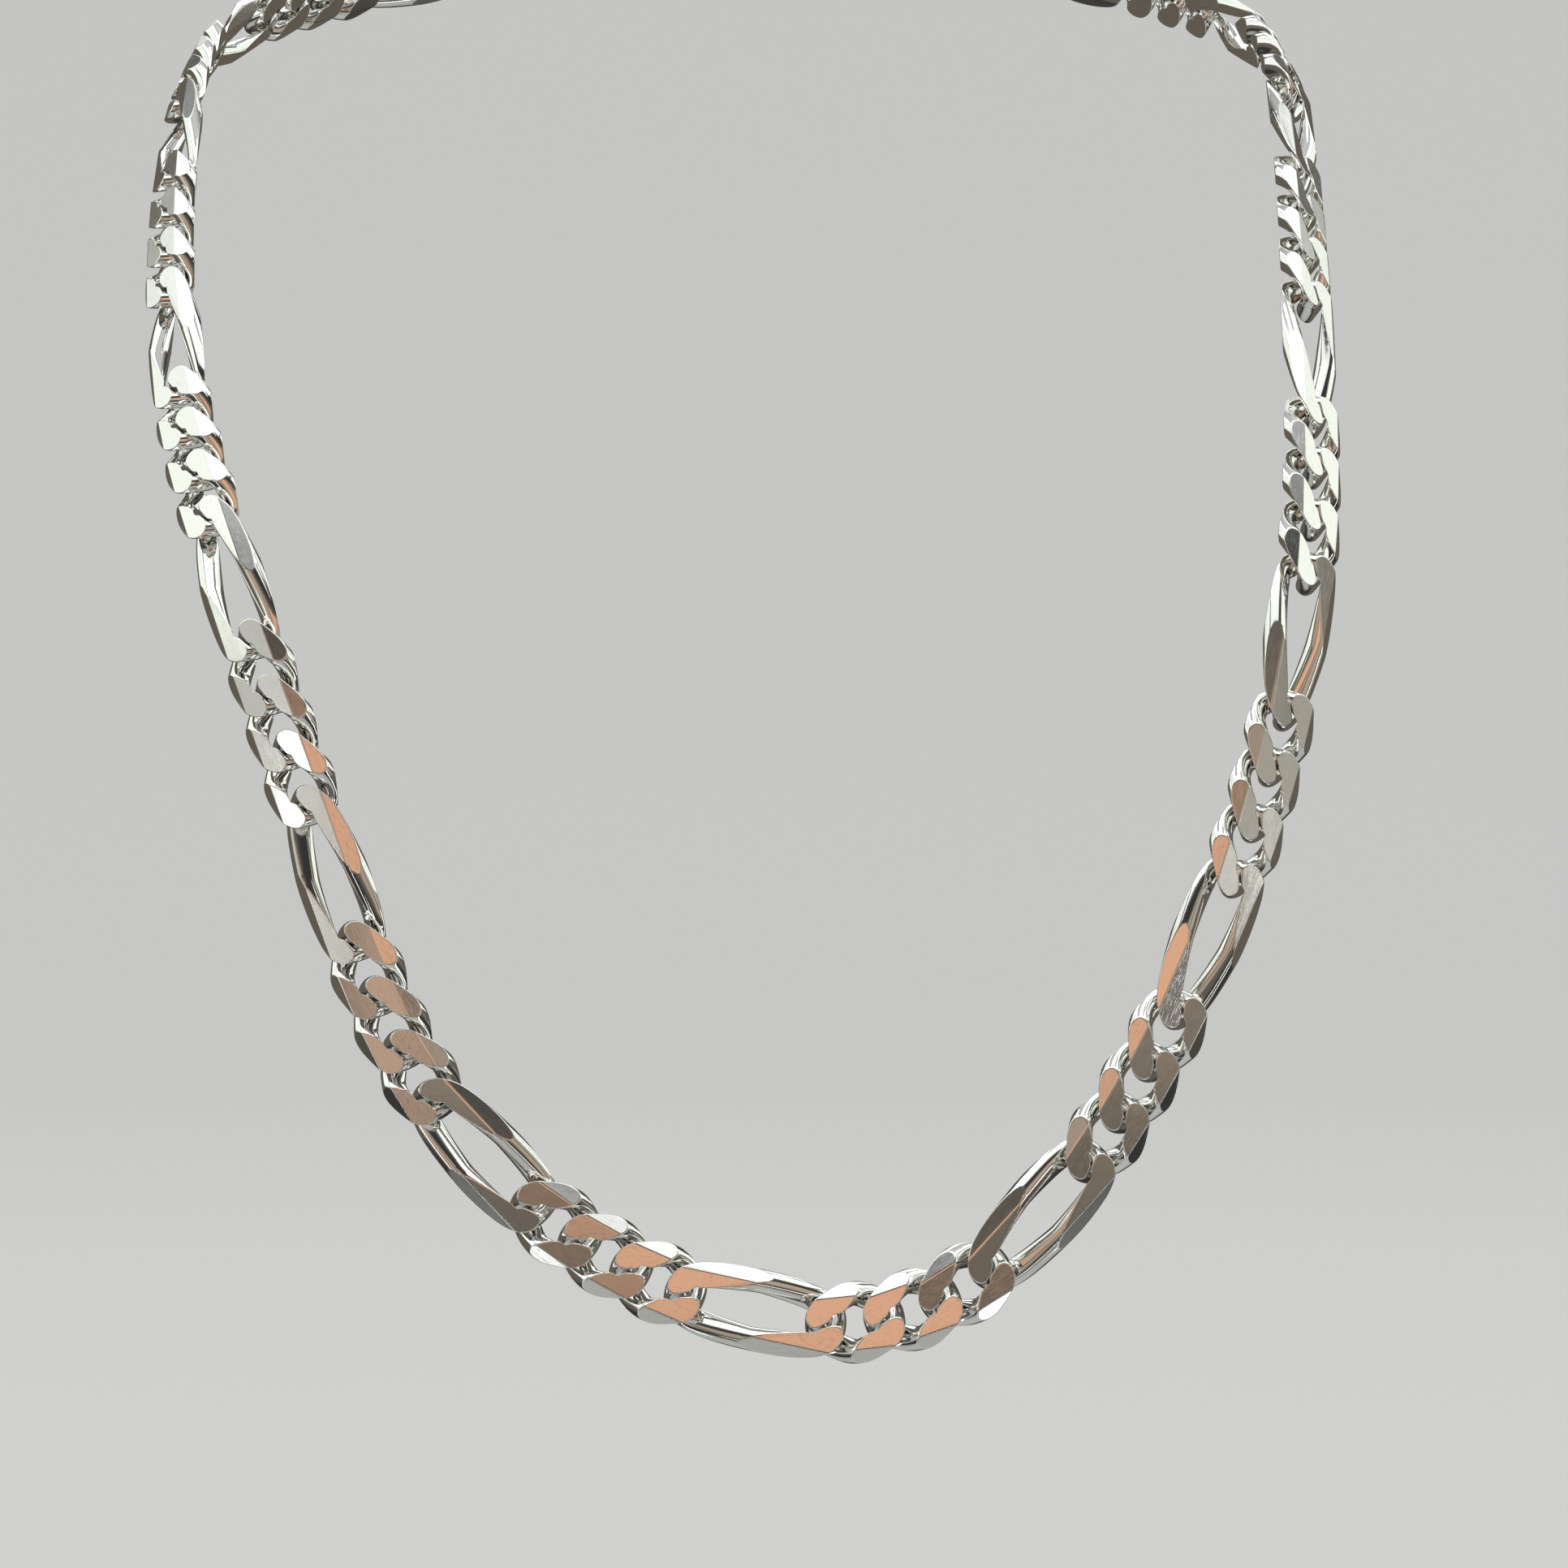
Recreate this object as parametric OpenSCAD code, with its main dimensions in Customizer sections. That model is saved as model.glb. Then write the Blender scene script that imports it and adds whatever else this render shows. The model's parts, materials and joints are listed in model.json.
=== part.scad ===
// Figaro chain necklace in sterling silver: three short curb links, then one long link, over and
// over, closed at the back by a lobster claw. Millimetres. The origin is the centre of the neck
// opening, +Z is up, -Y is the front, +X is the viewer's right. The chain hangs as it is worn,
// with the clasp undone at the nape.

/* [Link] */

// Width across a link
link_width = 9.5; // [6:0.1:14]

// Diameter of the wire a link is bent from
wire_diameter = 2.7; // [1.5:0.05:3.5]

// Thickness of the chain between its two diamond cut faces
chain_thickness = 3; // [1.8:0.1:4]

// Distance from one junction to the next over a short link
short_pitch = 6.94; // [5:0.02:11]

// Distance from one junction to the next over a long link
long_pitch = 16.9; // [12:0.1:26]

// How far the wire climbs above and below the middle of the chain
twist_height = 2; // [1.2:0.05:2.4]

// Slack left where two links cross
junction_slack = 0.4; // [0.1:0.05:0.6]

// Half width of the flat face, the bevels start here
flat_half_width = 3.15; // [2:0.05:4.5]

// Slope of the outer bevels
bevel_angle = 30; // [15:1:50]

/* [Clasp] */

// Middle diameter of the jump ring that carries the claw
clasp_ring_diameter = 5.7; // [4:0.1:8]

// Wire of that jump ring
clasp_ring_wire = 1.1; // [0.8:0.05:1.6]

// Middle diameter of the jump ring that carries the end tag
end_ring_diameter = 5.7; // [4:0.1:8]

// Wire of that jump ring
end_ring_wire = 1.1; // [0.8:0.05:1.6]

// Bore of the end tag that the claw snaps into
tag_bore = 5.2; // [4:0.05:6]

// Thickness of the end tag
tag_thickness = 1; // [0.6:0.1:1.6]

// Thickness of the claw body
claw_thickness = 3.9; // [2.8:0.1:5]

// Radius of the hook, to the middle of its bar
hook_radius = 3.9; // [3:0.1:5]

// Width of the hook bar seen from the face
hook_bar = 1.9; // [1.2:0.1:2.6]

// Thickness of the spring lever
lever_thickness = 1.4; // [0.8:0.1:2]

// Diameter of the lever pin
lever_pin_diameter = 1; // [0.6:0.05:1.4]

// Clearance between the pin and the lever bore, on diameter
lever_running_fit = 0.06; // [0.02:0.01:0.1]

/* [Drape] */

// Height of the lowest control point under the neck opening
drop = 177; // [150:1:220]

// Depth of the control points on the chest in front of the neck opening
chest_depth = 55; // [40:1:80]

/* [Hidden] */

silver = [0.80, 0.81, 0.80];
silver_dark = [0.66, 0.67, 0.67];
spring_steel = [0.55, 0.56, 0.58];

// Links on each side of the centre link: three short, one long, repeated.
links_per_side = 31;
group_size = 4;
front_links = 24;
back_trio_end = 27;
short_rings = 16;
long_rings = 24;
wire_sides = 8;

half_width = (link_width - wire_diameter) / 2;
end_reach = (short_pitch + wire_diameter + junction_slack) / 2;
long_extra = (long_pitch - short_pitch) / 2;
face_half = chain_thickness / 2;
// Share of the bend over which a long link is still straight
straight_share = 0.6;
wire_radius = wire_diameter / 2;

function clamp(v, limit) = min(limit, max(-limit, v));
function unit(v) = v / norm(v);

function is_long(k) = k % group_size == 0;
function pitch_of(k) = is_long(k) ? long_pitch : short_pitch;

// Middle line of the bent wire. extra is zero for a short link.
function wire_point(t, extra) = [
    end_reach * cos(t) + extra * sin(90 * clamp(cos(t) / straight_share, 1)),
    half_width * sin(t),
    -twist_height * sin(2 * t)
];

// Height of the cut face above the middle of the chain, lower on the bevels.
function cut_height(y) = face_half - max(0, abs(y) - flat_half_width) * tan(bevel_angle);

function cut_point(p) = [p.x, p.y, clamp(p.z, cut_height(p.y))];

function wire_ring(t, extra) =
    let (
        probe = 0.01,
        p = wire_point(t, extra),
        along = unit(wire_point(t + probe, extra) - wire_point(t - probe, extra)),
        side = unit(cross(along, [0, 0, 1])),
        lift = cross(side, along),
        step = 360 / wire_sides,
        reach = wire_radius / sqrt(cos(step / 2))
    )
    [
        for (s = [0 : wire_sides - 1])
            let (a = step * (s + 0.5))
                cut_point(p + reach * (cos(a) * side + sin(a) * lift))
    ];

function ring_quad(i, s, rings) =
    let (
        i2 = (i + 1) % rings,
        s2 = (s + 1) % wire_sides
    )
    [
        [i * wire_sides + s, i * wire_sides + s2, i2 * wire_sides + s2],
        [i * wire_sides + s, i2 * wire_sides + s2, i2 * wire_sides + s]
    ];

// One closed link: length along X, width along Y, face to +Z.
module link_solid(extra, rings) {
    points = [
        for (i = [0 : rings - 1])
            each wire_ring(360 * (i + 0.5) / rings, extra)
    ];
    faces = [
        for (i = [0 : rings - 1], s = [0 : wire_sides - 1])
            each ring_quad(i, s, rings)
    ];
    polyhedron(points = points, faces = faces, convexity = 6);
}

module link_of(long) {
    if (long) {
        link_solid(long_extra, long_rings);
    } else {
        link_solid(0, short_rings);
    }
}

// Control points of the hanging curve, front to back: x, y, z, then the turn of the face
// towards the side and the tilt of the face upwards, in degrees.
drape_left = [
    [-36, -chest_depth - 1, -155, 20, 5],
    [-48, -chest_depth, -121, 28, 7],
    [-61, -chest_depth + 2, -84, 38, 7],
    [-72, -29, -57, 50, 19],
    [-73, -7, -23, 66, 27],
    [-74, 31, -5, 93, 25],
    [-46, 59, 8, 141, 25],
    [-12, 65, 14, 171, 18],
    [22, 59, 14, 190, 14]
];
drape_front = [3, -chest_depth - 1, -drop, 0, 6];
drape_right = [
    [33, -chest_depth, -171, -17, 6],
    [58, -chest_depth + 1, -126, -30, 7],
    [67, -chest_depth + 3, -91, -37, 5],
    [69, -43, -66, -48, 13],
    [69, -21, -27, -61, 25],
    [71, 10, -10, -82, 27],
    [45, 53, 8, -139, 24],
    [13, 65, 14, -172, 17],
    [-22, 60, 14, -190, 14]
];
side_points = len(drape_left);
drape = concat([for (i = [1 : side_points]) drape_left[side_points - i]], [drape_front], drape_right);
front_u = side_points - 1;

// Smooth curve through the control points, with u counting them.
function drape_at(u) =
    let (
        k = min(max(floor(u), 0), len(drape) - 4),
        f = u - k,
        g = 1 - f
    )
    (g * g * g * drape[k]
        + (3 * f * f * f - 6 * f * f + 4) * drape[k + 1]
        + (3 * f * f + 3 * f - 3 * f * f * f + 1) * drape[k + 2]
        + f * f * f * drape[k + 3]) / 6;

function place_at(u) = let (d = drape_at(u)) [d[0], d[1], d[2]];

// Step along the curve from u to the point that is one pitch away, way is 1 or -1.
function halve(u, way, pitch, low, high, turns) =
    let (middle = (low + high) / 2)
    turns == 0 ? u + way * middle
    : norm(place_at(u + way * middle) - place_at(u)) < pitch
        ? halve(u, way, pitch, middle, high, turns - 1)
        : halve(u, way, pitch, low, middle, turns - 1);

function next_u(u, way, pitch) = halve(u, way, pitch, 0, 1, 30);

function walk(u, way, k) =
    k > links_per_side
        ? [u]
        : concat([u], walk(next_u(u, way, pitch_of(k)), way, k + 1));

first_right_u = next_u(front_u, 1, long_pitch / 2);
first_left_u = next_u(first_right_u, -1, long_pitch);
right_walk = walk(first_right_u, 1, 1);
left_walk = walk(first_left_u, -1, 1);

function junction_u(side, k) = side > 0 ? right_walk[k] : left_walk[k];

// Frame of link k on a side. The X axis always runs from the viewer's left to the right.
function link_ends(side, k) =
    k == 0 ? [left_walk[0], right_walk[0]]
    : side > 0 ? [right_walk[k - 1], right_walk[k]]
    : [left_walk[k], left_walk[k - 1]];

function face_normal(u) =
    let (
        d = drape_at(u),
        turn = d[3],
        tilt = d[4]
    )
    [-sin(turn) * cos(tilt), -cos(turn) * cos(tilt), sin(tilt)];

function link_frame(side, k) =
    let (
        ends = link_ends(side, k),
        a = place_at(ends[0]),
        b = place_at(ends[1]),
        x = unit(b - a),
        n = face_normal((ends[0] + ends[1]) / 2),
        z = unit(n - x * (n * x)),
        y = cross(z, x),
        c = (a + b) / 2
    )
    [
        [x.x, y.x, z.x, c.x],
        [x.y, y.y, z.y, c.y],
        [x.z, y.z, z.z, c.z],
        [0, 0, 0, 1]
    ];

module chain_link(side, k) {
    color(silver)
        multmatrix(link_frame(side, k))
            link_of(is_long(k));
}

module chain_run(side, from, to) {
    for (k = [from : to])
        chain_link(side, k);
}

// Rings at the two chain ends. A ring lies nearly square to the wire it hangs on.
ring_tilt = 47;
ring_gap = 0.2;

module on_chain_end(side) {
    multmatrix(link_frame(side, links_per_side))
        rotate([0, side > 0 ? 0 : 180, 0])
            children();
}

function ring_offset(ring_d, wire_d) =
    end_reach + ring_d / 2 - wire_d / 2 - wire_radius - ring_gap;

module jump_ring(ring_d, wire_d) {
    translate([ring_offset(ring_d, wire_d), 0, 0])
        rotate([ring_tilt, 0, 0])
            rotate_extrude($fn = 32)
                translate([ring_d / 2, 0])
                    circle(d = wire_d, $fn = 14);
}

module clasp_ring() {
    color(silver)
        on_chain_end(-1)
            jump_ring(clasp_ring_diameter, clasp_ring_wire);
}

module end_ring() {
    color(silver)
        on_chain_end(1)
            jump_ring(end_ring_diameter, end_ring_wire);
}

// End tag: a flat figure of eight, its small eye on the end ring and its large eye for the claw.
tag_eye_bore = 3.4;
tag_eye_wall = 0.7;
tag_bore_wall = 1.2;
tag_bridge = 0.9;
tag_edge = 0.2;
tag_eye_gap = 0.75;
tag_eye_offset = ring_offset(end_ring_diameter, end_ring_wire) + end_ring_diameter / 2
    + tag_eye_bore / 2 - end_ring_wire / 2 - tag_eye_gap;
tag_bore_offset = tag_eye_offset + tag_eye_bore / 2 + tag_bridge + tag_bore / 2;

// Disc with broken edges, turned about Z.
module edged_disc(x, radius, thickness, edge) {
    t = thickness / 2;
    translate([x, 0, 0])
        rotate_extrude($fn = 48)
            polygon([
                [0, -t],
                [radius - edge, -t],
                [radius, -t + edge],
                [radius, t - edge],
                [radius - edge, t],
                [0, t]
            ]);
}

module end_tag() {
    color(silver)
        on_chain_end(1)
            difference() {
                union() {
                    edged_disc(tag_eye_offset, tag_eye_bore / 2 + tag_eye_wall, tag_thickness, tag_edge);
                    edged_disc(tag_bore_offset, tag_bore / 2 + tag_bore_wall, tag_thickness, tag_edge);
                }
                translate([tag_eye_offset, 0, 0])
                    cylinder(d = tag_eye_bore, h = 2 * tag_thickness, center = true, $fn = 32);
                translate([tag_bore_offset, 0, 0])
                    cylinder(d = tag_bore, h = 2 * tag_thickness, center = true, $fn = 48);
            }
}

// Lobster claw, drawn with its eye at the origin, its nose to +X and its face to +Z.
eye_radius = 1.8;
eye_wire = 1;
eye_gap = 0.6;
hook_centre = [9, 0];
hook_tip_angle = -38;
hook_root_angle = 200;
heel = [4.7, -1.9];
heel_radius = 2.3;
shank_radius = 1.1;
boss_radius = 0.95;
slot_side_gap = 0.1;
lever_bar = 1.5;
lever_centre = [7.45, 0.4];
lever_radius = norm(lever_centre - heel);
lever_root_angle = atan2(heel.y - lever_centre.y, heel.x - lever_centre.x);
lever_tip_angle = -43;
tail_reach = 1.3;
tail_radius = 0.5;
thumb_angle = -112;
thumb_reach = 1.3;
thumb_radius = 0.6;
edge_break = 0.4;
knob_extra = 0.06;
slot_reach = 3.3;
slot_drop = 3;
slot_rise = 0.9;
pocket_floor = -3.5;
pocket_half = 0.75;
spring_radius = 0.42;
spring_wire = 0.16;
spring_turns = 3;
spring_gap = 0.03;

module on_claw() {
    on_chain_end(-1)
        translate([
            ring_offset(clasp_ring_diameter, clasp_ring_wire) + clasp_ring_diameter / 2
                + eye_radius - eye_wire / 2 - clasp_ring_wire / 2 - eye_gap,
            0,
            0
        ])
            children();
}

// Section of a bar with broken edges.
module bar_section(width, thickness) {
    w = width / 2;
    t = thickness / 2;
    polygon([
        [-w, -t + edge_break],
        [-w + edge_break, -t],
        [w - edge_break, -t],
        [w, -t + edge_break],
        [w, t - edge_break],
        [w - edge_break, t],
        [-w + edge_break, t],
        [-w, t - edge_break]
    ]);
}

module bar_arc(centre, radius, from, to, width, thickness) {
    translate([centre.x, centre.y, 0])
        rotate([0, 0, from])
            rotate_extrude(angle = to - from, $fn = 36)
                translate([radius, 0])
                    bar_section(width, thickness);
}

// Round knob at the end of a bar, a little wider than the bar.
module round_end(centre, radius, angle, width, thickness) {
    translate([centre.x + radius * cos(angle), centre.y + radius * sin(angle), 0])
        edged_disc(0, width / 2 + knob_extra, thickness, edge_break);
}

module disc(centre, radius, thickness) {
    translate([centre.x, centre.y, 0])
        cylinder(r = radius, h = thickness, center = true, $fn = 48);
}

module claw_body() {
    slot = lever_thickness + 2 * slot_side_gap;
    color(silver)
        on_claw()
            difference() {
                union() {
                    rotate_extrude($fn = 32)
                        translate([eye_radius, 0])
                            circle(d = eye_wire, $fn = 14);
                    translate([eye_radius, 0, 0])
                        rotate([0, 90, 0])
                            cylinder(r = shank_radius, h = heel.x - eye_radius, $fn = 36);
                    disc(heel, heel_radius, claw_thickness);
                    bar_arc(hook_centre, hook_radius, hook_tip_angle, hook_root_angle,
                        hook_bar, claw_thickness);
                    round_end(hook_centre, hook_radius, hook_tip_angle, hook_bar, claw_thickness);
                }
                // Slot for the lever, open to the front and the lower side
                disc(heel, boss_radius + slot_side_gap, slot);
                translate([heel.x - boss_radius, heel.y - slot_drop, -slot / 2])
                    cube([slot_reach + boss_radius, slot_drop + slot_rise, slot]);
                // Pocket for the lever tail and its spring
                translate([heel.x - tail_reach - pocket_half, pocket_floor, -slot / 2])
                    cube([tail_reach, heel.y + slot_rise - pocket_floor, slot]);
                // Bore for the lever pin
                disc(heel, lever_pin_diameter / 2, 2 * claw_thickness);
            }
}

module claw_lever() {
    color(silver_dark)
        on_claw()
            difference() {
                union() {
                    disc(heel, boss_radius, lever_thickness);
                    translate([heel.x - tail_reach, heel.y - tail_radius, -lever_thickness / 2])
                        cube([tail_reach, 2 * tail_radius, lever_thickness]);
                    disc([heel.x - tail_reach, heel.y], tail_radius, lever_thickness);
                    translate([lever_centre.x, lever_centre.y, 0])
                        rotate([0, 0, lever_root_angle])
                            rotate_extrude(angle = lever_tip_angle - lever_root_angle, $fn = 36)
                                translate([lever_radius - lever_bar / 2, -lever_thickness / 2])
                                    square([lever_bar, lever_thickness]);
                    disc([
                        lever_centre.x + lever_radius * cos(lever_tip_angle),
                        lever_centre.y + lever_radius * sin(lever_tip_angle)
                    ], lever_bar / 2, lever_thickness);
                    translate([lever_centre.x, lever_centre.y, 0])
                        rotate([0, 0, thumb_angle])
                            translate([lever_radius, 0, 0])
                                rotate([0, 90, 0])
                                    cylinder(r = thumb_radius, h = thumb_reach, $fn = 20);
                    translate([lever_centre.x, lever_centre.y, 0])
                        rotate([0, 0, thumb_angle])
                            translate([lever_radius + thumb_reach, 0, 0])
                                sphere(r = thumb_radius, $fn = 14);
                }
                disc(heel, (lever_pin_diameter + lever_running_fit) / 2, 2 * claw_thickness);
            }
}

module lever_pin() {
    color(silver_dark)
        on_claw()
            disc(heel, lever_pin_diameter / 2, claw_thickness);
}

function coil_point(a, low, high) = [
    spring_radius * cos(a),
    low + (high - low) * a / (360 * spring_turns),
    spring_radius * sin(a)
];

module lever_spring() {
    steps = 12 * spring_turns;
    sides = 6;
    low = pocket_floor + spring_wire / 2 + spring_gap;
    high = heel.y - tail_radius - spring_wire / 2 - spring_gap;
    points = [
        for (i = [0 : steps])
            let (
                a = 30 * i,
                out = [cos(a), 0, sin(a)]
            )
                for (s = [0 : sides - 1])
                    let (b = 360 * s / sides)
                        coil_point(a, low, high)
                            + spring_wire / 2 * (cos(b) * out + sin(b) * [0, 1, 0])
    ];
    walls = [
        for (i = [0 : steps - 1], s = [0 : sides - 1])
            let (
                p = i * sides + s,
                q = i * sides + (s + 1) % sides
            )
                each [[p, q + sides, q], [p, p + sides, q + sides]]
    ];
    caps = [
        [for (s = [0 : sides - 1]) s],
        [for (s = [0 : sides - 1]) steps * sides + sides - 1 - s]
    ];
    color(spring_steel)
        on_claw()
            translate([heel.x - tail_reach, 0, 0])
                polyhedron(points = points, faces = concat(walls, caps), convexity = 8);
}

module center_link() {
    chain_link(1, 0);
}

module left_back_trio() {
    chain_run(-1, front_links + 1, back_trio_end);
}

module left_back_tail() {
    chain_run(-1, back_trio_end + 1, links_per_side);
}

module right_back_trio() {
    chain_run(1, front_links + 1, back_trio_end);
}

module right_back_tail() {
    chain_run(1, back_trio_end + 1, links_per_side);
}

module left_link_01() {
    chain_link(-1, 1);
}

module left_link_02() {
    chain_link(-1, 2);
}

module left_link_03() {
    chain_link(-1, 3);
}

module left_link_04() {
    chain_link(-1, 4);
}

module left_link_05() {
    chain_link(-1, 5);
}

module left_link_06() {
    chain_link(-1, 6);
}

module left_link_07() {
    chain_link(-1, 7);
}

module left_link_08() {
    chain_link(-1, 8);
}

module left_link_09() {
    chain_link(-1, 9);
}

module left_link_10() {
    chain_link(-1, 10);
}

module left_link_11() {
    chain_link(-1, 11);
}

module left_link_12() {
    chain_link(-1, 12);
}

module left_link_13() {
    chain_link(-1, 13);
}

module left_link_14() {
    chain_link(-1, 14);
}

module left_link_15() {
    chain_link(-1, 15);
}

module left_link_16() {
    chain_link(-1, 16);
}

module left_link_17() {
    chain_link(-1, 17);
}

module left_link_18() {
    chain_link(-1, 18);
}

module left_link_19() {
    chain_link(-1, 19);
}

module left_link_20() {
    chain_link(-1, 20);
}

module left_link_21() {
    chain_link(-1, 21);
}

module left_link_22() {
    chain_link(-1, 22);
}

module left_link_23() {
    chain_link(-1, 23);
}

module left_link_24() {
    chain_link(-1, 24);
}

module right_link_01() {
    chain_link(1, 1);
}

module right_link_02() {
    chain_link(1, 2);
}

module right_link_03() {
    chain_link(1, 3);
}

module right_link_04() {
    chain_link(1, 4);
}

module right_link_05() {
    chain_link(1, 5);
}

module right_link_06() {
    chain_link(1, 6);
}

module right_link_07() {
    chain_link(1, 7);
}

module right_link_08() {
    chain_link(1, 8);
}

module right_link_09() {
    chain_link(1, 9);
}

module right_link_10() {
    chain_link(1, 10);
}

module right_link_11() {
    chain_link(1, 11);
}

module right_link_12() {
    chain_link(1, 12);
}

module right_link_13() {
    chain_link(1, 13);
}

module right_link_14() {
    chain_link(1, 14);
}

module right_link_15() {
    chain_link(1, 15);
}

module right_link_16() {
    chain_link(1, 16);
}

module right_link_17() {
    chain_link(1, 17);
}

module right_link_18() {
    chain_link(1, 18);
}

module right_link_19() {
    chain_link(1, 19);
}

module right_link_20() {
    chain_link(1, 20);
}

module right_link_21() {
    chain_link(1, 21);
}

module right_link_22() {
    chain_link(1, 22);
}

module right_link_23() {
    chain_link(1, 23);
}

module right_link_24() {
    chain_link(1, 24);
}

center_link();
left_link_01();
left_link_02();
left_link_03();
left_link_04();
left_link_05();
left_link_06();
left_link_07();
left_link_08();
left_link_09();
left_link_10();
left_link_11();
left_link_12();
left_link_13();
left_link_14();
left_link_15();
left_link_16();
left_link_17();
left_link_18();
left_link_19();
left_link_20();
left_link_21();
left_link_22();
left_link_23();
left_link_24();
left_back_trio();
left_back_tail();
right_link_01();
right_link_02();
right_link_03();
right_link_04();
right_link_05();
right_link_06();
right_link_07();
right_link_08();
right_link_09();
right_link_10();
right_link_11();
right_link_12();
right_link_13();
right_link_14();
right_link_15();
right_link_16();
right_link_17();
right_link_18();
right_link_19();
right_link_20();
right_link_21();
right_link_22();
right_link_23();
right_link_24();
right_back_trio();
right_back_tail();
clasp_ring();
claw_body();
claw_lever();
lever_pin();
lever_spring();
end_ring();
end_tag();
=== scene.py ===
"""Looks for the figaro chain necklace: every link is rebuilt in fine mesh on its CAD solid, with
diamond cut faces, bevels and rounded wire. The clasp parts keep their CAD shapes and get finishes."""

import json
import math

import bmesh
import bpy
import numpy as np
from mathutils import Matrix, Vector

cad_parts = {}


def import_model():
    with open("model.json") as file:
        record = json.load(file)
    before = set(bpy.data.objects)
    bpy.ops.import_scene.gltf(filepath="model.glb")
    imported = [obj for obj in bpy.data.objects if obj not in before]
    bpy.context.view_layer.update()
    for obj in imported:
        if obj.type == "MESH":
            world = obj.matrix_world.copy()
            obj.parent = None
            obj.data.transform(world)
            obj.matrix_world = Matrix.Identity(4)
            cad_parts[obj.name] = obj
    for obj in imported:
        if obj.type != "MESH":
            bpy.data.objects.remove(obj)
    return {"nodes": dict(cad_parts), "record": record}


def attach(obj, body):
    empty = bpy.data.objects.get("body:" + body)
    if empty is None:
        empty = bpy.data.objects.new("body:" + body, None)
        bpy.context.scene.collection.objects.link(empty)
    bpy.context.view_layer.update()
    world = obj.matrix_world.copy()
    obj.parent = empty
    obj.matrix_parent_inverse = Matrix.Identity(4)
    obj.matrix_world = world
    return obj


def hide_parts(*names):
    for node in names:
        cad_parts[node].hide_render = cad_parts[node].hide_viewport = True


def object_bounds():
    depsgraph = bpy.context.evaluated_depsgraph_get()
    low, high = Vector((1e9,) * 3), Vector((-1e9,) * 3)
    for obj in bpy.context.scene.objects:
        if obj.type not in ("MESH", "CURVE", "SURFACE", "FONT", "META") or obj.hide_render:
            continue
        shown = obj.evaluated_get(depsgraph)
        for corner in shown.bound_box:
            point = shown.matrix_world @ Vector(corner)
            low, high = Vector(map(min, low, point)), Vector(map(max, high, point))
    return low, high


MM = 0.001

# Driving sizes of a link, as in the CAD part.
LINK_WIDTH = 9.5 * MM
WIRE_RADIUS = 1.35 * MM
# Radius of the finished wire along the sides of a link, a little more than the driving radius.
FINISHED_RADIUS = 1.40 * MM
CHAIN_THICKNESS = 3.0 * MM
SHORT_PITCH = 6.94 * MM
LONG_PITCH = 16.9 * MM
TWIST_HEIGHT = 2.0 * MM
JUNCTION_SLACK = 0.4 * MM
FLAT_HALF_WIDTH = 3.15 * MM
BEVEL_ANGLE = math.radians(30)
STRAIGHT_SHARE = 0.6

HALF_WIDTH = LINK_WIDTH / 2 - WIRE_RADIUS
END_REACH = (SHORT_PITCH + 2 * WIRE_RADIUS + JUNCTION_SLACK) / 2
LONG_EXTRA = (LONG_PITCH - SHORT_PITCH) / 2
# Rolling the chain flat leaves a link slimmer and shorter at its ends, and spreads its lobes
# inwards over the next link.
SLIM_END_REACH = END_REACH - 0.22 * MM
SLIM_END_RADIUS = 1.1 * MM
# The higher this power, the shorter the slim stretch at each end.
SLIM_SHARPNESS = 8
# Shares by which a lobe reaches further inwards, and is thinner there.
LOBE_SPREAD = 0.46
LOBE_THINNING = 0.45
# The tail links are spread less, so that the rings can swing on them.
TAIL_SPREAD = 0.10
FACE_HALF = CHAIN_THICKNESS / 2
# A CAD solid longer than this is a long link.
LONG_LINK_LENGTH = 1.5 * LINK_WIDTH

# Fineness of the visual meshes.
WIRE_SIDES = 28
SHORT_RINGS = 96
LONG_RINGS = 132
RIM_WIDTH = 0.13 * MM
RIM_STEPS = 3
# In Blender's bevel 0.5 is a round rim and 1 a sharp one.
RIM_PROFILE = 0.6
RIM_ANGLE = math.radians(8)
# Edges shorter than this beside a rim are welded away before the rim is rounded.
SLIVER_LIMIT = 0.16 * MM
WELD_PASSES = 3
# How far the darker tone, patina with painted shade, reaches along and across the inner bend of an end.
RECESS_LENGTH = 0.9 * WIRE_RADIUS
RECESS_WIDTH = 0.8 * WIRE_RADIUS
RECESS_STRENGTH = 0.8
CUT_TOLERANCE = 1e-8
# Points closer than these are merged, in a finished link and in a CAD node.
MERGE_DISTANCE = 0.001 * MM
ISLAND_MERGE_DISTANCE = 0.002 * MM
# Samples used to space the rings evenly, and the step used to find the wire's direction.
SPACING_SAMPLES = 1441
PROBE_ANGLE = 1e-4
# Each link takes its scratches from its own part of the noise, this far away at the most.
PATTERN_SHIFT = 0.5

# The stage, in metres. AXIS is the middle of what the camera sees of the chain.
AXIS = Vector((0.005, -0.056, -0.110))
CAMERA_DISTANCE = 0.5
CAMERA_LENS = 98
CAMERA_SENSOR = 36
CARD_DISTANCE = 1.2
FLOOR_DROP = 0.07
FLOOR_INNER_RADIUS = 0.8
FLOOR_RADIUS = 1.3
SWEEP_RADIUS = 0.7
SWEEP_STEPS = 12
WALL_TOP = 3.0
FLOOR_SIDES = 96
PAPER_COLOUR = (0.14, 0.14, 0.138, 1)
PAPER_GLOW = (0.9, 0.9, 0.89, 1)
PAPER_GLOW_STRENGTH = 0.52

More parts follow.
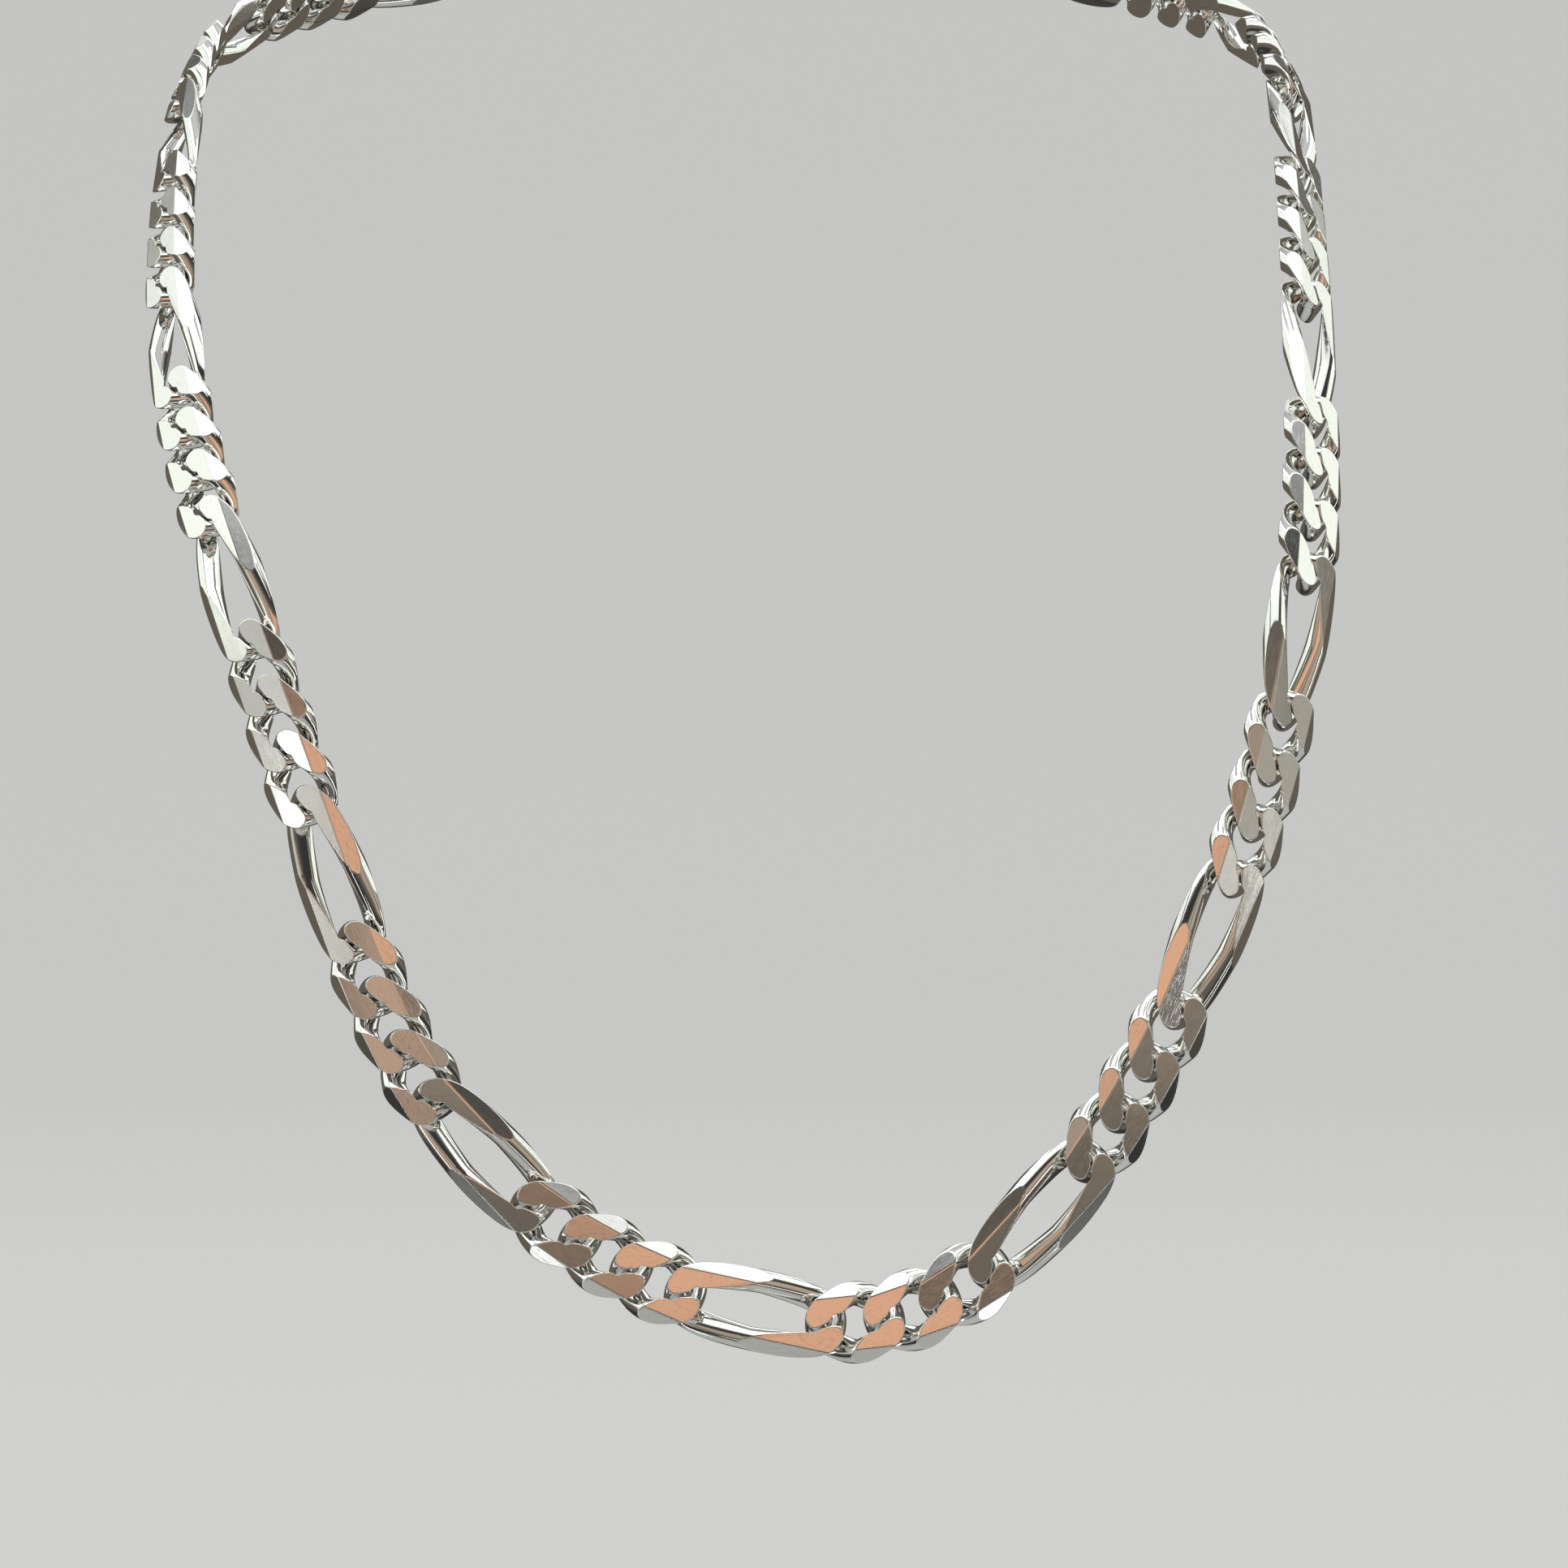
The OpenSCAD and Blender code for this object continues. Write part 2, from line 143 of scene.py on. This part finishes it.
# Colours of the metals, as a clean and a scuffed tone or as the ends of a cloudy range.
CLEAN_FACE = (0.93, 0.93, 0.91)
SCUFFED_FACE = (0.82, 0.80, 0.77)
DULL_WIRE = (0.90, 0.905, 0.885)
BRIGHT_WIRE = (0.97, 0.97, 0.95)
# Patina and painted shade for the inner bends of the wire, where the links meet.
PATINA_AND_SHADE_WIRE = (0.36, 0.345, 0.31)
DULL_RIM = (0.94, 0.94, 0.92)
BRIGHT_RIM = (0.99, 0.99, 0.98)
DULL_CLASP = (0.78, 0.785, 0.77)
BRIGHT_CLASP = (0.92, 0.92, 0.90)
DARK_STEEL = (0.42, 0.43, 0.45)
PALE_STEEL = (0.60, 0.61, 0.63)

RANDOM = np.random.default_rng(63)


def unit(v):
    return v / np.linalg.norm(v)


# ---------------------------------------------------------------- links

def wire_point(t, extra):
    """Middle line of the bent wire at angle t. extra is zero for a short link."""
    c = math.cos(t)
    straight = min(1.0, max(-1.0, c / STRAIGHT_SHARE))
    return np.array([
        SLIM_END_REACH * c + extra * math.sin(math.pi / 2 * straight),
        HALF_WIDTH * math.sin(t),
        -TWIST_HEIGHT * math.sin(2 * t),
    ])


def even_angles(extra, rings):
    """Angles whose points on the middle line are about the same distance apart."""
    fine = np.linspace(0, 2 * math.pi, SPACING_SAMPLES)
    points = np.array([wire_point(t, extra) for t in fine])
    run = np.concatenate([[0], np.cumsum(np.linalg.norm(np.diff(points, axis=0), axis=1))])
    wanted = run[-1] * (np.arange(rings) + 0.5) / rings
    return np.interp(wanted, run, fine)


def wire_reach(t, a, spread):
    """Reach of the section to the outside and upwards, at angle t of the link and a of the section."""
    slimming = (FINISHED_RADIUS - SLIM_END_RADIUS) * abs(math.cos(t)) ** SLIM_SHARPNESS
    radius = FINISHED_RADIUS - slimming
    out, up = math.cos(a), math.sin(a)
    if out < 0:
        lobe = abs(math.sin(2 * t))
        up *= 1 + LOBE_THINNING * lobe * out
        out *= 1 + spread * lobe
    return radius * out, radius * up


def swept_wire(extra, rings, spread):
    """The round wire as a bmesh, before its faces are cut."""
    bm = bmesh.new()
    loops = []
    for t in even_angles(extra, rings):
        along = unit(wire_point(t + PROBE_ANGLE, extra) - wire_point(t - PROBE_ANGLE, extra))
        side = unit(np.cross(along, [0, 0, 1]))
        lift = np.cross(side, along)
        centre = wire_point(t, extra)
        loop = []
        for s in range(WIRE_SIDES):
            a = 2 * math.pi * (s + 0.5) / WIRE_SIDES
            out, up = wire_reach(t, a, spread)
            loop.append(bm.verts.new(centre + out * side + up * lift))
        loops.append(loop)
    for i in range(rings):
        here, there = loops[i], loops[(i + 1) % rings]
        for s in range(WIRE_SIDES):
            n = (s + 1) % WIRE_SIDES
            bm.faces.new((here[s], here[n], there[n], there[s]))
    bm.normal_update()
    bmesh.ops.recalc_face_normals(bm, faces=bm.faces)
    return bm


def cut_planes():
    """Point and outward normal of the two faces and the four bevels."""
    planes = []
    for up in (1, -1):
        planes.append((Vector((0, 0, up * FACE_HALF)), Vector((0, 0, up))))
        for out in (1, -1):
            normal = Vector((0, out * math.sin(BEVEL_ANGLE), up * math.cos(BEVEL_ANGLE)))
            planes.append((Vector((0, out * FLAT_HALF_WIDTH, up * FACE_HALF)), normal))
    return planes


def rim_edges(bm):
    """Edges where a cut face meets another face at a clear angle."""
    return [e for e in bm.edges if len(e.link_faces) == 2
            and 1 in (e.link_faces[0].material_index, e.link_faces[1].material_index)
            and e.calc_face_angle(0) > RIM_ANGLE]


def weld_slivers(bm):
    """Takes the short edges beside the rims away, so that the rims can be rounded evenly."""
    on_rim = {v for e in rim_edges(bm) for v in e.verts}
    used = set()
    targets = {}
    for e in sorted(bm.edges, key=lambda edge: edge.calc_length()):
        if e.calc_length() > SLIVER_LIMIT:
            break
        keep, drop = e.verts
        if drop in on_rim and keep not in on_rim:
            keep, drop = drop, keep
        if keep not in on_rim or keep in used or drop in used:
            continue
        used.update((keep, drop))
        targets[drop] = keep
    bmesh.ops.weld_verts(bm, targetmap=targets)
    bm.normal_update()


def cut_link(extra, rings, spread):
    """One link with polished cut faces: material 0 is the round wire, 1 the cut faces, 2 the rims."""
    bm = swept_wire(extra, rings, spread)
    for point, normal in cut_planes():
        geometry = bm.verts[:] + bm.edges[:] + bm.faces[:]
        cut = bmesh.ops.bisect_plane(
            bm, geom=geometry, dist=CUT_TOLERANCE, plane_co=point, plane_no=normal, clear_outer=True
        )
        edges = [e for e in cut["geom_cut"] if isinstance(e, bmesh.types.BMEdge) and e.is_boundary]
        if not edges:
            continue
        made = bmesh.ops.edgenet_fill(bm, edges=edges)
        for f in made["faces"]:
            f.normal_update()
            if f.normal.dot(normal) < 0:
                f.normal_flip()
            f.material_index = 1
    bmesh.ops.remove_doubles(bm, verts=bm.verts, dist=MERGE_DISTANCE)
    bm.normal_update()
    for _ in range(WELD_PASSES):
        weld_slivers(bm)
    bmesh.ops.bevel(
        bm, geom=rim_edges(bm), offset=RIM_WIDTH, segments=RIM_STEPS, profile=RIM_PROFILE,
        affect="EDGES", clamp_overlap=False, material=2,
    )
    for f in bm.faces:
        f.smooth = f.material_index != 1
    mesh = bpy.data.meshes.new("link")
    bm.to_mesh(mesh)
    bm.free()
    return mesh


def patina_and_shade_tone(mesh, extra):
    """Marks the inner bends with patina, where the links rub and the polish never reaches, and with
    painted shade, where the links crowd each other.
    """
    end_wire = END_REACH + extra
    tone = mesh.attributes.new("patina_and_shade", "FLOAT", "POINT")
    for index, vertex in enumerate(mesh.vertices):
        x, y = vertex.co.xy
        inward = max(0.0, (end_wire - abs(x)) / WIRE_RADIUS)
        near_end = math.exp(-((abs(x) - end_wire + WIRE_RADIUS) / RECESS_LENGTH) ** 2)
        near_middle = math.exp(-(y / RECESS_WIDTH) ** 2)
        tone.data[index].value = RECESS_STRENGTH * near_end * near_middle * min(1.0, inward)


def finished_link(extra, rings, spread=LOBE_SPREAD):
    mesh = cut_link(extra, rings, spread)
    patina_and_shade_tone(mesh, extra)
    return mesh


def islands(node):
    """The loose solids of a CAD node, each as an array of its own points."""
    bm = bmesh.new()
    bm.from_mesh(node.data)
    bmesh.ops.remove_doubles(bm, verts=bm.verts, dist=ISLAND_MERGE_DISTANCE)
    found = []
    seen = set()
    for start in bm.verts:
        if start in seen:
            continue
        stack, members = [start], []
        seen.add(start)
        while stack:
            v = stack.pop()
            members.append(tuple(v.co))
            for e in v.link_edges:
                w = e.other_vert(v)
                if w not in seen:
                    seen.add(w)
                    stack.append(w)
        found.append(np.array(members))
    bm.free()
    return found


def link_place(points):
    """Frame of a link from its own symmetry, X along it and Z out of its face, and if it is long."""
    middle = points.mean(axis=0)
    covariance = np.cov((points - middle).T)
    axes = np.linalg.eigh(covariance)[1]
    x, y = axes[:, 2], axes[:, 1]
    z = np.cross(x, y)
    matrix = Matrix.Identity(4)
    for column, axis in enumerate((x, y, z)):
        for row in range(3):
            matrix[row][column] = axis[row]
    for row in range(3):
        matrix[row][3] = middle[row]
    length = np.ptp((points - middle) @ x)
    return matrix, length > LONG_LINK_LENGTH


def own_copy(mesh, place):
    """A placed copy that remembers its own link coordinates and how worn this link is."""
    copy = mesh.copy()
    count = len(copy.vertices)
    points = np.empty(count * 3)
    copy.vertices.foreach_get("co", points)
    points = points.reshape(-1, 3) + RANDOM.uniform(-PATTERN_SHIFT, PATTERN_SHIFT, 3)
    space = copy.attributes.new("link_space", "FLOAT_VECTOR", "POINT")
    space.data.foreach_set("vector", points.ravel())
    wear = copy.attributes.new("wear", "FLOAT", "POINT")
    wear.data.foreach_set("value", np.full(count, RANDOM.uniform(0, 1)))
    copy.transform(place)
    return copy


def joined(meshes_and_places, name):
    """One object with a copy of each mesh at its place, in the row frame."""
    bm = bmesh.new()
    for mesh, place in meshes_and_places:
        copy = own_copy(mesh, place)
        bm.from_mesh(copy)
        bpy.data.meshes.remove(copy)
    mesh = bpy.data.meshes.new(name)
    bm.to_mesh(mesh)
    bm.free()
    obj = bpy.data.objects.new(name, mesh)
    bpy.context.scene.collection.objects.link(obj)
    return obj


# ---------------------------------------------------------------- materials

def nodes_of(name):
    """A new metal, with its node tree and its shader."""
    material = bpy.data.materials.new(name)
    material.use_nodes = True
    tree = material.node_tree
    shader = tree.nodes["Principled BSDF"]
    shader.inputs["Metallic"].default_value = 1.0
    return material, tree, shader


def ramp(tree, source, low, high, start=0.0, end=1.0):
    """A source value from start to end, turned into a colour from low to high."""
    node = tree.nodes.new("ShaderNodeValToRGB")
    node.color_ramp.elements[0].position = start
    node.color_ramp.elements[1].position = end
    node.color_ramp.elements[0].color = (*low, 1)
    node.color_ramp.elements[1].color = (*high, 1)
    tree.links.new(source, node.inputs["Fac"])
    return node.outputs["Color"]


def noise(tree, vector, scale, detail=3.0, roughness=0.5):
    node = tree.nodes.new("ShaderNodeTexNoise")
    node.inputs["Scale"].default_value = scale
    node.inputs["Detail"].default_value = detail
    node.inputs["Roughness"].default_value = roughness
    tree.links.new(vector, node.inputs["Vector"])
    return node.outputs["Fac"]


def turned(tree, vector, angles, scale):
    node = tree.nodes.new("ShaderNodeMapping")
    node.inputs["Rotation"].default_value = [math.radians(a) for a in angles]
    node.inputs["Scale"].default_value = scale
    tree.links.new(vector, node.inputs["Vector"])
    return node.outputs["Vector"]


def maths(tree, operation, a, b):
    node = tree.nodes.new("ShaderNodeMath")
    node.operation = operation
    for socket, value in zip(node.inputs, (a, b)):
        if isinstance(value, (int, float)):
            socket.default_value = value
        else:
            tree.links.new(value, socket)
    return node.outputs[0]


def bump(tree, shader, height, distance, strength=1.0):
    node = tree.nodes.new("ShaderNodeBump")
    node.inputs["Strength"].default_value = strength
    node.inputs["Distance"].default_value = distance
    tree.links.new(height, node.inputs["Height"])
    tree.links.new(node.outputs["Normal"], shader.inputs["Normal"])


def grey(v):
    return (v, v, v)


def scratches(tree, vector, directions, long_scale, fine_scale):
    """Thin hair lines in several directions, as a value that is high on a line."""
    total = None
    for index, angles in enumerate(directions):
        squeezed = turned(tree, vector, angles, (long_scale, fine_scale, fine_scale))
        # A slightly different scale gives each direction a pattern of its own.
        line = noise(tree, squeezed, scale=1.0 + 0.13 * index, detail=2.0, roughness=0.6)
        line = ramp(tree, line, grey(0), grey(1), start=0.62, end=0.70)
        total = line if total is None else maths(tree, "MAXIMUM", total, line)
    return total


def attribute(tree, name, output="Fac"):
    node = tree.nodes.new("ShaderNodeAttribute")
    node.attribute_name = name
    return node.outputs[output]


def cut_face_silver():
    """Diamond cut faces: nearly mirror, with hair scratches and scuffs that differ by link."""
    material, tree, shader = nodes_of("silver_cut_face")
    vector = attribute(tree, "link_space", "Vector")
    wear = attribute(tree, "wear")
    directions = ((0, 0, 12), (0, 0, 68), (0, 0, -37))
    hair = scratches(tree, vector, directions, long_scale=420, fine_scale=7000)
    scuff = noise(tree, vector, scale=1500, detail=5, roughness=0.7)
    scuff = ramp(tree, scuff, grey(0), grey(1), start=0.55, end=0.7)
    colour = ramp(tree, maths(tree, "MULTIPLY", scuff, wear), CLEAN_FACE, SCUFFED_FACE)
    tree.links.new(colour, shader.inputs["Base Color"])
    worn = ramp(tree, wear, grey(0.10), grey(0.20))
    marks = maths(tree, "MULTIPLY", maths(tree, "MAXIMUM", hair, scuff), 0.07)
    tree.links.new(maths(tree, "ADD", worn, marks), shader.inputs["Roughness"])
    waves = maths(tree, "MULTIPLY", noise(tree, vector, scale=260, detail=3), 3.0)
    grooves = maths(tree, "MULTIPLY", hair, 0.25)
    height = maths(tree, "SUBTRACT", waves, grooves)
    bump(tree, shader, height, distance=0.012 * MM, strength=0.3)
    return material


def wire_silver():
    """Rounded wire: mirror polish, duller and darker at the inner bends, with patina where the links
    rub and painted shade between the links.
    """
    material, tree, shader = nodes_of("silver_wire")
    vector = attribute(tree, "link_space", "Vector")
    cloud = noise(tree, vector, scale=300, detail=5)
    tone = attribute(tree, "patina_and_shade")
    bright = ramp(tree, cloud, DULL_WIRE, BRIGHT_WIRE, start=0.3, end=0.7)
    # Painted shade, together with patina, darkens the wire at the inner bends.
    mix = tree.nodes.new("ShaderNodeMixRGB")
    tree.links.new(tone, mix.inputs["Fac"])
    tree.links.new(bright, mix.inputs["Color1"])
    mix.inputs["Color2"].default_value = (*PATINA_AND_SHADE_WIRE, 1)
    tree.links.new(mix.outputs["Color"], shader.inputs["Base Color"])
    rough = ramp(tree, cloud, grey(0.05), grey(0.12), start=0.3, end=0.75)
    rough = maths(tree, "ADD", rough, maths(tree, "MULTIPLY", tone, 0.2))
    tree.links.new(rough, shader.inputs["Roughness"])
    dents = noise(tree, vector, scale=500, detail=2)
    bump(tree, shader, dents, distance=0.02 * MM, strength=0.3)
    return material


def rim_silver():
    """Edges of the cut faces, rounded and burnished by wear, so they catch light all round."""
    material, tree, shader = nodes_of("silver_rim")
    vector = attribute(tree, "link_space", "Vector")
    cloud = noise(tree, vector, scale=900, detail=3)
    colour = ramp(tree, cloud, DULL_RIM, BRIGHT_RIM)
    tree.links.new(colour, shader.inputs["Base Color"])
    tree.links.new(ramp(tree, cloud, grey(0.16), grey(0.28)), shader.inputs["Roughness"])
    return material


def clasp_silver():
    """Cast and tumbled silver of the clasp, rings and tag."""
    material, tree, shader = nodes_of("silver_clasp")
    vector = tree.nodes.new("ShaderNodeTexCoord").outputs["Object"]
    cloud = noise(tree, vector, scale=350, detail=5)
    hair = scratches(tree, vector, ((0, 0, 35), (40, 0, -60)), long_scale=300, fine_scale=4200)
    colour = ramp(tree, cloud, DULL_CLASP, BRIGHT_CLASP, start=0.3, end=0.7)
    tree.links.new(colour, shader.inputs["Base Color"])
    rough = ramp(tree, cloud, grey(0.10), grey(0.22), start=0.3, end=0.7)
    rough = maths(tree, "ADD", rough, maths(tree, "MULTIPLY", hair, 0.12))
    tree.links.new(rough, shader.inputs["Roughness"])
    bump(tree, shader, maths(tree, "SUBTRACT", cloud, hair), distance=0.01 * MM, strength=0.5)
    return material


def spring_steel():
    """Drawn steel wire of the lever's coil."""
    material, tree, shader = nodes_of("spring_wire_steel")
    vector = tree.nodes.new("ShaderNodeTexCoord").outputs["Object"]
    cloud = noise(tree, vector, scale=3000, detail=3)
    colour = ramp(tree, cloud, DARK_STEEL, PALE_STEEL, start=0.3, end=0.7)
    tree.links.new(colour, shader.inputs["Base Color"])
    tree.links.new(ramp(tree, cloud, grey(0.22), grey(0.4)), shader.inputs["Roughness"])
    bump(tree, shader, cloud, distance=0.005 * MM, strength=0.5)
    return material


# ---------------------------------------------------------------- scene

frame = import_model()
low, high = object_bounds()

face_metal = cut_face_silver()
wire_metal = wire_silver()
rim_metal = rim_silver()
clasp_metal = clasp_silver()
spring_metal = spring_steel()

short_mesh = finished_link(0.0, SHORT_RINGS)
long_mesh = finished_link(LONG_EXTRA, LONG_RINGS)
short_tail_mesh = finished_link(0.0, SHORT_RINGS, TAIL_SPREAD)
long_tail_mesh = finished_link(LONG_EXTRA, LONG_RINGS, TAIL_SPREAD)

body_of_node = {
    node: body
    for body, members in frame["record"]["behaviour"]["bodies"].items()
    for node in members
}

for name, node in sorted(frame["nodes"].items()):
    if "link" not in name and "back" not in name:
        continue
    parts = []
    choice = (short_tail_mesh, long_tail_mesh) if "tail" in name else (short_mesh, long_mesh)
    for points in islands(node):
        place, long = link_place(points)
        parts.append((choice[long], place))
    piece = joined(parts, name + "_metal")
    piece.data.materials.append(wire_metal)
    piece.data.materials.append(face_metal)
    piece.data.materials.append(rim_metal)
    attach(piece, body_of_node[name])
    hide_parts(name)

for name in ("clasp_ring", "claw_body", "claw_lever", "lever_pin", "end_ring", "end_tag"):
    obj = frame["nodes"][name]
    obj.data.materials.clear()
    obj.data.materials.append(clasp_metal)
spring = frame["nodes"]["lever_spring"]
spring.data.materials.clear()
spring.data.materials.append(spring_metal)


# ---------------------------------------------------------------- stage, lights, camera

def backdrop():
    """A pale bowl: flat floor that sweeps up all round."""
    bm = bmesh.new()
    floor_z = low[2] - FLOOR_DROP
    profile = [(0.0, 0.0), (FLOOR_INNER_RADIUS, 0.0), (FLOOR_RADIUS, 0.0)]
    for i in range(1, SWEEP_STEPS + 1):
        a = math.radians(90 * i / SWEEP_STEPS)
        profile.append((FLOOR_RADIUS + SWEEP_RADIUS * math.sin(a), SWEEP_RADIUS * (1 - math.cos(a))))
    profile.append((FLOOR_RADIUS + SWEEP_RADIUS, WALL_TOP))
    turns = [2 * math.pi * k / FLOOR_SIDES for k in range(FLOOR_SIDES)]
    rings = []
    for r, z in profile:
        if r == 0.0:
            rings.append([bm.verts.new((0, 0, floor_z))])
        else:
            rings.append([bm.verts.new((r * math.cos(a), r * math.sin(a), floor_z + z)) for a in turns])
    for inner, outer in zip(rings, rings[1:]):
        for k in range(FLOOR_SIDES):
            n = (k + 1) % FLOOR_SIDES
            if len(inner) == 1:
                bm.faces.new((inner[0], outer[k], outer[n]))
            else:
                bm.faces.new((inner[k], outer[k], outer[n], inner[n]))
    for f in bm.faces:
        f.smooth = True
    mesh = bpy.data.meshes.new("backdrop")
    bm.to_mesh(mesh)
    bm.free()
    obj = bpy.data.objects.new("backdrop", mesh)
    bpy.context.scene.collection.objects.link(obj)
    material = bpy.data.materials.new("pale_paper")
    material.use_nodes = True
    shader = material.node_tree.nodes["Principled BSDF"]
    shader.inputs["Base Color"].default_value = PAPER_COLOUR
    shader.inputs["Roughness"].default_value = 0.9
    shader.inputs["Emission Color"].default_value = PAPER_GLOW
    shader.inputs["Emission Strength"].default_value = PAPER_GLOW_STRENGTH
    mesh.materials.append(material)
    obj.visible_glossy = False


def card(name, azimuth, elevation, width, height, radiance, colour=(1, 1, 1)):
    """A soft light seen from the chain at an angle: azimuth from the front to the viewer's right."""
    turn, lift = math.radians(azimuth), math.radians(elevation)
    away = Vector((math.sin(turn) * math.cos(lift), -math.cos(turn) * math.cos(lift), math.sin(lift)))
    light = bpy.data.lights.new(name, "AREA")
    light.shape = "RECTANGLE"
    light.size = width
    light.size_y = height
    light.energy = radiance * math.pi * width * height
    light.color = colour
    obj = bpy.data.objects.new(name, light)
    obj.location = AXIS + CARD_DISTANCE * away
    obj.rotation_euler = (-away).to_track_quat("-Z", "Y").to_euler()
    obj.visible_camera = False
    bpy.context.scene.collection.objects.link(obj)


def world():
    """What the chain reflects where there is no card: bands by height, the same all round."""
    scene_world = bpy.data.worlds.new("studio")
    bpy.context.scene.world = scene_world
    scene_world.use_nodes = True
    tree = scene_world.node_tree
    background = tree.nodes["Background"]
    vector = tree.nodes.new("ShaderNodeTexCoord").outputs["Generated"]
    split = tree.nodes.new("ShaderNodeSeparateXYZ")
    tree.links.new(vector, split.inputs[0])
    # The sine of the elevation, from -1 to 1, becomes a place on the ramp, from 0 to 1.
    height = maths(tree, "ADD", maths(tree, "MULTIPLY", split.outputs["Z"], 0.5), 0.5)
    node = tree.nodes.new("ShaderNodeValToRGB")
    # Sine of the elevation and what is seen there, from straight down to straight up.
    dark, dull = (0.035, 0.035, 0.035), (0.12, 0.105, 0.085)
    stops = ((-1.0, (0.46, 0.47, 0.45)), (-0.76, (0.38, 0.38, 0.36)), (-0.64, dark), (-0.47, dark),
             (-0.37, dull), (0.34, dull), (0.44, dark), (0.58, dark), (0.77, (0.28, 0.28, 0.28)),
             (1.0, (0.6, 0.6, 0.6)))
    stops = [((sine + 1) / 2, colour) for sine, colour in stops]
    elements = node.color_ramp.elements
    elements[0].position, elements[1].position = stops[0][0], stops[-1][0]
    elements[0].color = (*stops[0][1], 1)
    elements[1].color = (*stops[-1][1], 1)
    for position, colour in stops[1:-1]:
        element = elements.new(position)
        element.color = (*colour, 1)
    tree.links.new(height, node.inputs["Fac"])
    tree.links.new(node.outputs["Color"], background.inputs["Color"])
    background.inputs["Strength"].default_value = 1.0


camera_data = bpy.data.cameras.new("camera")
camera_data.sensor_width = CAMERA_SENSOR
camera_data.lens = CAMERA_LENS
camera = bpy.data.objects.new("camera", camera_data)
camera.location = AXIS - Vector((0, CAMERA_DISTANCE, 0))
camera.rotation_euler = (math.radians(90), 0, 0)
bpy.context.scene.collection.objects.link(camera)
bpy.context.scene.camera = camera

bpy.context.scene.view_settings.view_transform = "Standard"
backdrop()
world()
# Each card: name, azimuth and elevation in degrees, width and height in metres, radiance, colour.
# Sky panels for the upper bevels, side panels for the chain beside the neck.
card("top", -8, 60, 1.7, 0.70, 0.85, (0.97, 1.0, 0.96))
card("top_spark", 12, 80, 0.35, 0.25, 3.0)
card("left", -100, 28, 1.2, 0.75, 0.95, (0.94, 1.0, 0.93))
card("left_high", -92, 56, 1.0, 0.35, 1.3, (0.97, 1.0, 0.97))
card("right", 100, 28, 1.2, 0.75, 0.95, (0.94, 1.0, 0.93))
card("right_high", 92, 56, 1.0, 0.35, 1.3, (0.97, 1.0, 0.97))
card("back", 180, 40, 1.0, 0.7, 1.0)
# Warm and dull panels round the camera, mirrored by the flat faces at the bottom of the drape.
card("warm_middle", -3, 3, 0.50, 0.50, 0.64, (1.0, 0.49, 0.28))
card("dull_right", 17, 2, 0.20, 0.70, 0.26, (1.0, 0.78, 0.60))
card("warm_right", 35, 0, 0.44, 0.80, 0.32, (1.0, 0.74, 0.56))
card("dull_far_right", 66, 6, 0.62, 0.95, 0.26, (1.0, 0.98, 0.86))
card("dull_left", -22, 0, 0.28, 0.72, 0.24, (1.0, 0.82, 0.66))
card("warm_left", -41, -2, 0.36, 0.80, 0.40, (1.0, 0.62, 0.43))
card("dull_far_left", -68, 4, 0.60, 0.95, 0.42, (0.98, 1.0, 0.95))
# Strips that draw long highlights along the wire.
card("strip_low_left", -62, -30, 0.07, 1.2, 2.2)
card("strip_low_right", 58, -32, 0.07, 1.2, 2.2)
card("strip_under", 0, -38, 1.3, 0.06, 1.8, (1.0, 0.95, 0.9))
